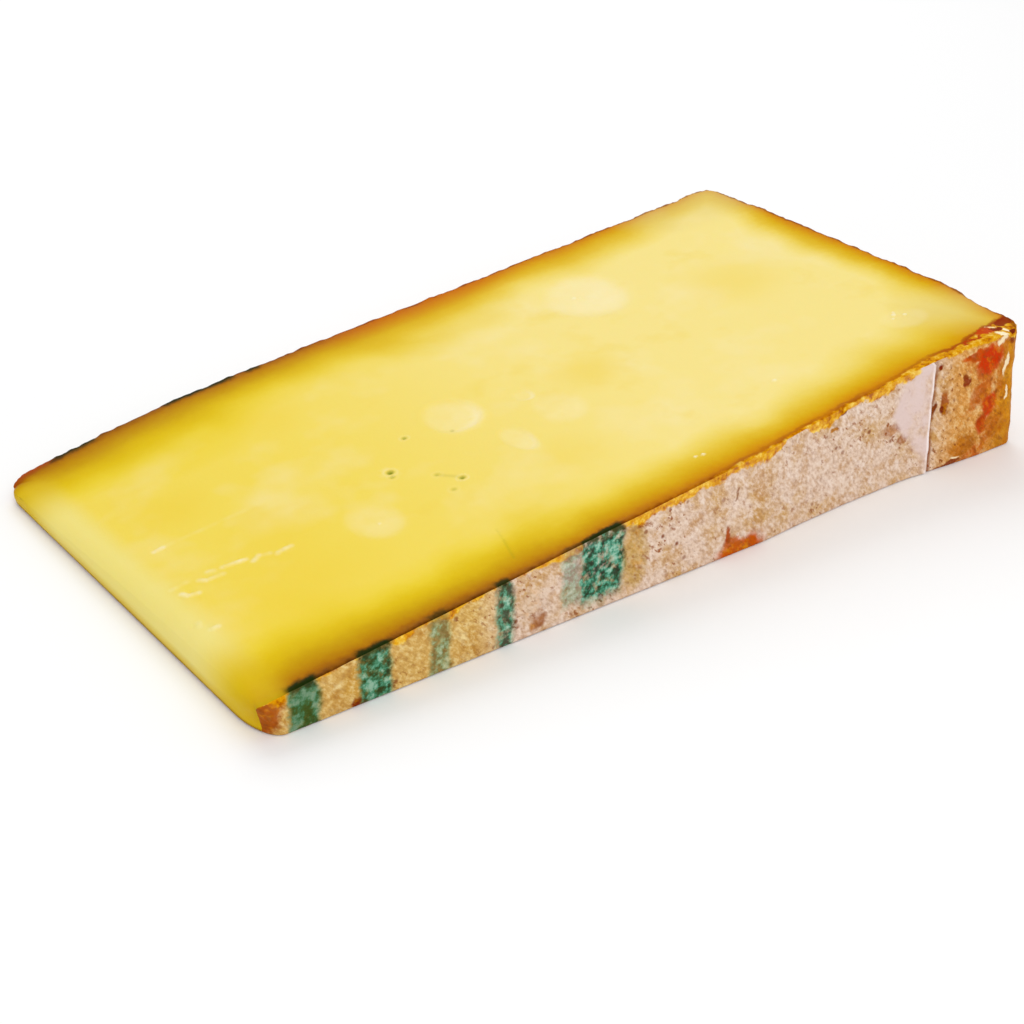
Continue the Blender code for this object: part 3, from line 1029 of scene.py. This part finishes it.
def washed_rind():
    """Brine-washed rind with a dry bloom: dull, mottled and freckled, glossier where rusty."""
    settings = {"Specular IOR Level": 0.012, "Subsurface Weight": 0.0}
    material, tree, sockets = start_material("washed_rind_dry_bloom", settings)
    place = in_millimetres(tree)
    x, y, z = add(tree, SPLIT, place).node.outputs
    cut_depth = add(tree, STORED, out=2, attribute_name="cut_depth")
    cut_depth = product(tree, cut_depth, 1.0 / MM)

    # Bloom over tan, with more tan towards the nose and rust towards the heel.
    cloud = grain(tree, place, 8.0, cuts=(0.46, 0.66), detail=4.0)
    nose_tan = add(tree, RANGE, x, -40.0, -48.0, 0.0, 0.75)
    heel_tan = add(tree, RANGE, x, 57.0, 64.0, 0.0, 0.8)
    tan = add(tree, MOST, nose_tan, heel_tan)
    thin_bloom = add(tree, MOST, cloud, tan)
    tint = layer(tree, "#DDC3AE", "#C99E62", thin_bloom)
    tint = layer(tree, tint, "#D69A62", heel_tan)
    blotches = grain(tree, place, 3.6, cuts=(0.50, 0.70), levels=(0.0, 0.75), detail=5.0)
    tint = layer(tree, tint, "#B98648", blotches)

    # Rust at the heel, amber at its corner, brown at the nose's, and single stains.
    limit = add(tree, RANGE, x, 57.0, 74.0, 0.72, 0.40)
    rust = grain(tree, place, 6.0, detail=4.0)
    rust = add(tree, MINUS, rust, limit)
    rust = add(tree, RANGE, rust, 0.0, 0.10, 0.0, 0.85)
    tint = layer(tree, tint, "#BC5A08", rust)
    loose = shaken(tree, place, 3.0, 1.8)
    loose_x = add(tree, SPLIT, loose).node.outputs[0]
    amber = add(tree, RANGE, loose_x, 71.5, 76.0, 0.0, 0.95)
    resin = grain(tree, place, 4.0, cuts=(0.35, 0.65))
    resin = layer(tree, "#B06204", "#CE9420", resin)
    tint = layer(tree, tint, resin, amber)
    nose_end = add(tree, TIMES_PLUS, z, -0.4, loose_x)
    nose_end = add(tree, RANGE, nose_end, -83.2, -84.4, 0.0, 0.95)
    tint = layer(tree, tint, "#A44C02", nose_end)
    front = add(tree, BELOW, y, -40.0)
    bare = add(tree, MOST, amber, rust)
    bare = add(tree, MOST, bare, nose_end)
    for mid_x, mid_z, half_x, half_z, shade, strength in STAINS:
        stain = spot(tree, loose, (mid_x, 0.0, mid_z), (half_x, math.inf, half_z), 0.55, 1.1)
        tint = layer(tree, tint, shade, stain, front, strength)
        bare = add(tree, MOST, bare, product(tree, stain, front, strength))

    # The dry surface: floury in places, grainy everywhere, freckled where the bloom is rubbed.
    dry = add(tree, TIMES_PLUS, bare, -0.97, 1.0)
    turn = {"Angle": BRUSHED}
    brushed = add(tree, "ShaderNodeVectorRotate", place, links=turn, rotation_type="Y_AXIS")
    brushed = add(tree, V_TIMES, brushed, STREAK)
    for wave, cuts, most, detail, shade, mask in (
        (1.6, (0.50, 0.68), 0.5, 4.0, "#6E2C04", bare),
        (1.5, (0.48, 0.32), 0.5, 4.0, "#E29A10", bare),
        (1.8, (0.46, 0.30), 0.7, 4.0, "#E8D4C6", dry),
        (0.6, (0.48, 0.72), 0.6, 3.0, "#8E5C34", 0.8),
        (0.6, (0.50, 0.30), 0.5, 3.0, "#F0E2D6", dry),
    ):
        streaks = grain(tree, brushed, wave, cuts, (0.0, most), detail)
        tint = layer(tree, tint, shade, streaks, mask)
    tint = layer(tree, tint, "#FFFAA8", nose_tan, blend="MULTIPLY")
    tint = layer(tree, tint, "#FFF0A8", heel_tan, blend="MULTIPLY")
    crowd = grain(tree, place, 11.0, cuts=(0.38, 0.60), levels=(0.1, 1.0), detail=2.0)
    freckles = grain(tree, brushed, 0.8, cuts=(0.59, 0.67))
    tint = layer(tree, tint, "#8E4C1C", freckles, crowd, 0.9)
    cells = add(tree, "ShaderNodeTexVoronoi", links={"Vector": place, "Scale": 1.0 / 4.0})
    dots = add(tree, RANGE, cells, 0.15, 0.07)
    tint = layer(tree, tint, "#7C3A14", dots, crowd, 0.9)
    # Painted highlights on the glossy corner.
    for mid_x, mid_z, half_x, half_z in GLINTS:
        glint = spot(tree, loose, (mid_x, 0.0, mid_z), (half_x, math.inf, half_z), 0.6, 1.0)
        tint = layer(tree, tint, "#F6E6C0", glint, front, 0.85)

    # The pressed skin beside the crease, a painted highlight along the fold and a painted shadow
    # behind it.
    past_crease = add(tree, TIMES_PLUS, z, CREASE_LEAN, x)
    past_crease = add(tree, MINUS, past_crease, CREASE_X)
    slant = add(tree, MINUS, z, SKIN_MIDDLE)
    slant = add(tree, MOST, slant, product(tree, slant, -SKIN_BELOW))
    slant = add(tree, TIMES_PLUS, slant, SKIN_NARROWING, -SKIN_WIDEST)
    in_skin = add(tree, MINUS, past_crease, slant)
    in_skin = add(tree, RANGE, in_skin, 0.0, 1.6)
    before = add(tree, RANGE, past_crease, 0.1, -0.1)
    whole = grain(tree, place, 5.0, cuts=(0.35, 0.55), levels=(0.35, 1.0), detail=4.0)
    tint = layer(tree, tint, "#DCC5BE", in_skin, before, front, whole)
    fold_highlight = band(tree, past_crease, -0.7, -0.4, -0.1, 0.1)
    tint = layer(tree, tint, "#F2E4E0", fold_highlight, front, grain(tree, place, 4.0, cuts=(0.3, 0.6)))
    shadow = band(tree, past_crease, 0.0, 0.2, 0.6, 1.4)
    broken = grain(tree, place, 3.0, cuts=(0.3, 0.55))
    tint = layer(tree, tint, "#824014", shadow, front, broken, 0.85)

    # Ink: rubbed through to the bloom in places, nearly black where it pooled.
    ink, from_top = ink_share(tree, place)
    worn = add(tree, RANGE, x, -60.0, -30.0, 0.8, 0.35)
    rubbed = grain(tree, place, 1.5, cuts=(0.30, 0.48), detail=4.0)
    rubbed = add(tree, RANGE, rubbed, 0.0, 1.0, worn, 1.0)
    strength = grain(tree, place, 1.3, cuts=(0.36, 0.64), detail=6.0)
    ink_tint = add(tree, RAMP, strength, stops=INK_STOPS)
    aged = add(tree, RANGE, x, -60.0, -78.0, 0.0, 0.6)
    ink_tint = layer(tree, ink_tint, "#34520A", aged)
    upper = add(tree, BELOW, from_top, 0.5)
    at_lip = add(tree, RANGE, cut_depth, 1.6, 0.4)
    pooled = grain(tree, place, 1.8, cuts=(0.3, 0.5))
    ink_tint = layer(tree, ink_tint, "#06301A", at_lip, upper, pooled)
    tint = layer(tree, tint, ink_tint, ink, rubbed)

    # The ragged golden lip under the upper cut.
    lip_width = add(tree, RANGE, x, -50.0, 12.0, 0.35, 1.5)
    lip_loss = add(tree, RANGE, x, 28.0, 36.0, 0.0, 0.9)
    lip_width = add(tree, MINUS, lip_width, lip_loss)
    crumbly = grain(tree, place, 3.2, levels=(-2.4, 2.4), detail=5.0)
    uneven = grain(tree, place, 12.0, levels=(-3.0, 3.0), detail=1.0)
    crumbly = add(tree, PLUS, crumbly, uneven)
    lip = add(tree, PLUS, cut_depth, crumbly)
    lip = add(tree, MINUS, lip, lip_width)
    lip = add(tree, RANGE, lip, 0.25, -0.25)
    no_ink = add(tree, MINUS, 1.0, ink)
    golden = grain(tree, place, 1.3, cuts=(0.34, 0.66), detail=4.0)
    lip_tint = add(tree, RAMP, golden, stops=LIP_STOPS)
    tint = layer(tree, tint, lip_tint, lip, no_ink, upper, 0.92)

    tree.links.new(tint, sockets["Base Color"])
    gloss = add(tree, MOST, amber, rust)
    dull = add(tree, TIMES_PLUS, gloss, -0.4, 0.76)
    tree.links.new(dull, sockets["Roughness"])
    crust = grain(tree, place, 0.9, detail=4.0)
    bump = {"Height": crust, "Strength": 0.45, "Distance": 0.0005}
    tree.links.new(add(tree, "ShaderNodeBump", links=bump), sockets["Normal"])
    return material


# %% [markdown]
# ## Making the wedge
# The tree runs once on an empty mesh. Its result is copied to a plain mesh, so that small marks
# can be pressed in, and the modifier goes.

# %% Grow the body
def grown_mesh(tree, name):
    """Runs a tree that needs no input mesh and returns its result as a plain mesh."""
    carrier = bpy.data.objects.new(name, bpy.data.meshes.new(name))
    bpy.context.scene.collection.objects.link(carrier)
    modifier = carrier.modifiers.new("form", "NODES")
    modifier.node_group = tree
    for item in tree.interface.items_tree:
        if item.in_out == "INPUT":
            modifier[item.identifier] = item.default_value
    graph = bpy.context.evaluated_depsgraph_get()
    evaluated = carrier.evaluated_get(graph)
    mesh = bpy.data.meshes.new_from_object(evaluated, preserve_all_data_layers=True, depsgraph=graph)
    carrier.modifiers.remove(modifier)
    bpy.data.objects.remove(carrier)
    return mesh


paste = cheese_paste()
rind = washed_rind()
wedge_mesh = grown_mesh(wedge_tree(SIZES, paste, rind), "wedge")
refine(wedge_mesh)
press_marks(wedge_mesh)
lay_out(wedge_mesh)
wedge = bpy.data.objects.new("wedge_of_cheese", wedge_mesh)
bpy.context.scene.collection.objects.link(wedge)
wedge_mesh.calc_loop_triangles()
print("wedge:", len(wedge_mesh.vertices), "points,", len(wedge_mesh.loop_triangles), "triangles")

# %% Put it in the frame
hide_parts(NODE)
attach(wedge, "root")
